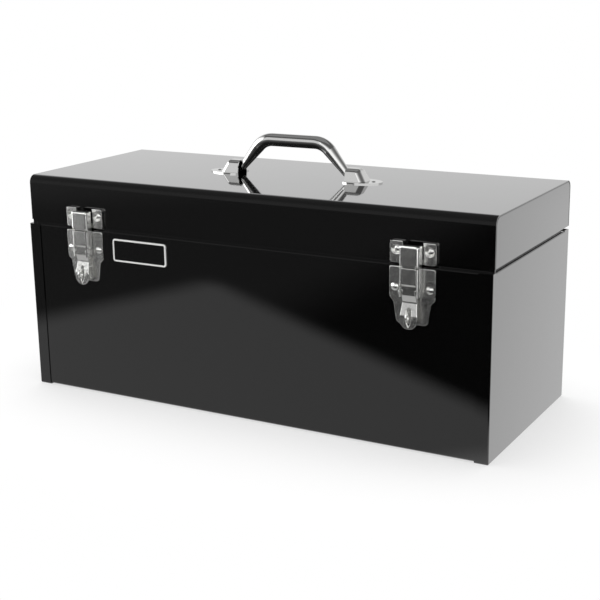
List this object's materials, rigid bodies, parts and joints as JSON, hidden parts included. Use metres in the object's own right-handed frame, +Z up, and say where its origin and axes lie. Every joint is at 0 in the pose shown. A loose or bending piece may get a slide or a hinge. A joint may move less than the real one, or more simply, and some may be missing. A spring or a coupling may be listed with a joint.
{
  "type": "toolbox",
  "caption": "Flat-top steel hand toolbox with a full-width hinged lid, draw latches with padlock eyes, a folding carrying handle and a lift-out tray with a grip.",
  "frame": {"origin": "centre of the bounding box's footprint, at the height of the underside", "axes": "+X to the right seen from the front, front faces -Y, +Z up"},
  "size_m": [0.511, 0.224, 0.2673],
  "materials": {
    "black_paint": "gloss",
    "inner_paint": "gloss",
    "hinge_steel": "satin",
    "chrome": "polished",
    "plating": "bright plated"
  },
  "bodies": {
    "body": {"body_wrap": "black_paint", "body_end_left": "black_paint", "body_end_right": "black_paint", "tray_ledge_left": "inner_paint", "tray_ledge_right": "inner_paint", "hinge_leaf_body": "hinge_steel", "hinge_pin": "hinge_steel", "badge_plate": "chrome", "latch_base_left": "plating", "latch_base_rivets_left": "plating", "padlock_staple_left": "plating", "lever_pin_left": "plating", "latch_base_right": "plating", "latch_base_rivets_right": "plating", "padlock_staple_right": "plating", "lever_pin_right": "plating"},
    "lid": {"lid_wrap": "black_paint", "lid_end_left": "black_paint", "lid_end_right": "black_paint", "hinge_leaf_lid": "hinge_steel", "handle_bracket_left": "chrome", "handle_bracket_right": "chrome", "bracket_rivet_left": "chrome", "bracket_rivet_right": "chrome", "catch_plate_left": "plating", "catch_rivets_left": "plating", "catch_plate_right": "plating", "catch_rivets_right": "plating"},
    "handle": {"carry_handle": "chrome"},
    "tray": {"tray_pan": "inner_paint", "tray_divider": "inner_paint"},
    "lever_left": {"latch_lever_left": "plating", "claw_pin_left": "plating"},
    "claw_left": {"latch_claw_left": "plating"},
    "lever_right": {"latch_lever_right": "plating", "claw_pin_right": "plating"},
    "claw_right": {"latch_claw_right": "plating"}
  },
  "joints": [
    {"name": "lid_hinge", "type": "hinge", "parent": "body", "child": "lid", "pos_m": [0, 0.1098, 0.1767], "axis": [-1, 0, 0], "range_deg": [0, 100]},
    {"name": "handle_hinge", "type": "hinge", "parent": "lid", "child": "handle", "pos_m": [0, 0.012, 0.2311], "axis": [1, 0, 0], "range_deg": [-87, 87]},
    {"name": "tray_lift", "type": "slide", "parent": "body", "child": "tray", "axis": [0, 0, 1], "range_m": [0, 0.035]},
    {"name": "latch_lever_left", "type": "hinge", "parent": "body", "child": "lever_left", "pos_m": [-0.1837, -0.1022, 0.176], "axis": [-1, 0, 0], "range_deg": [0, 120]},
    {"name": "latch_claw_left", "type": "hinge", "parent": "lever_left", "child": "claw_left", "pos_m": [-0.1837, -0.1028, 0.152], "axis": [-1, 0, 0], "range_deg": [-144, 0]},
    {"name": "latch_lever_right", "type": "hinge", "parent": "body", "child": "lever_right", "pos_m": [0.1803, -0.1022, 0.176], "axis": [-1, 0, 0], "range_deg": [0, 120]},
    {"name": "latch_claw_right", "type": "hinge", "parent": "lever_right", "child": "claw_right", "pos_m": [0.1803, -0.1028, 0.152], "axis": [-1, 0, 0], "range_deg": [-144, 0]}
  ],
  "couplings": [
    {"joint": "latch_claw_left", "follows": "latch_lever_left", "ratio": -1.2},
    {"joint": "latch_claw_right", "follows": "latch_lever_right", "ratio": -1.2}
  ]
}
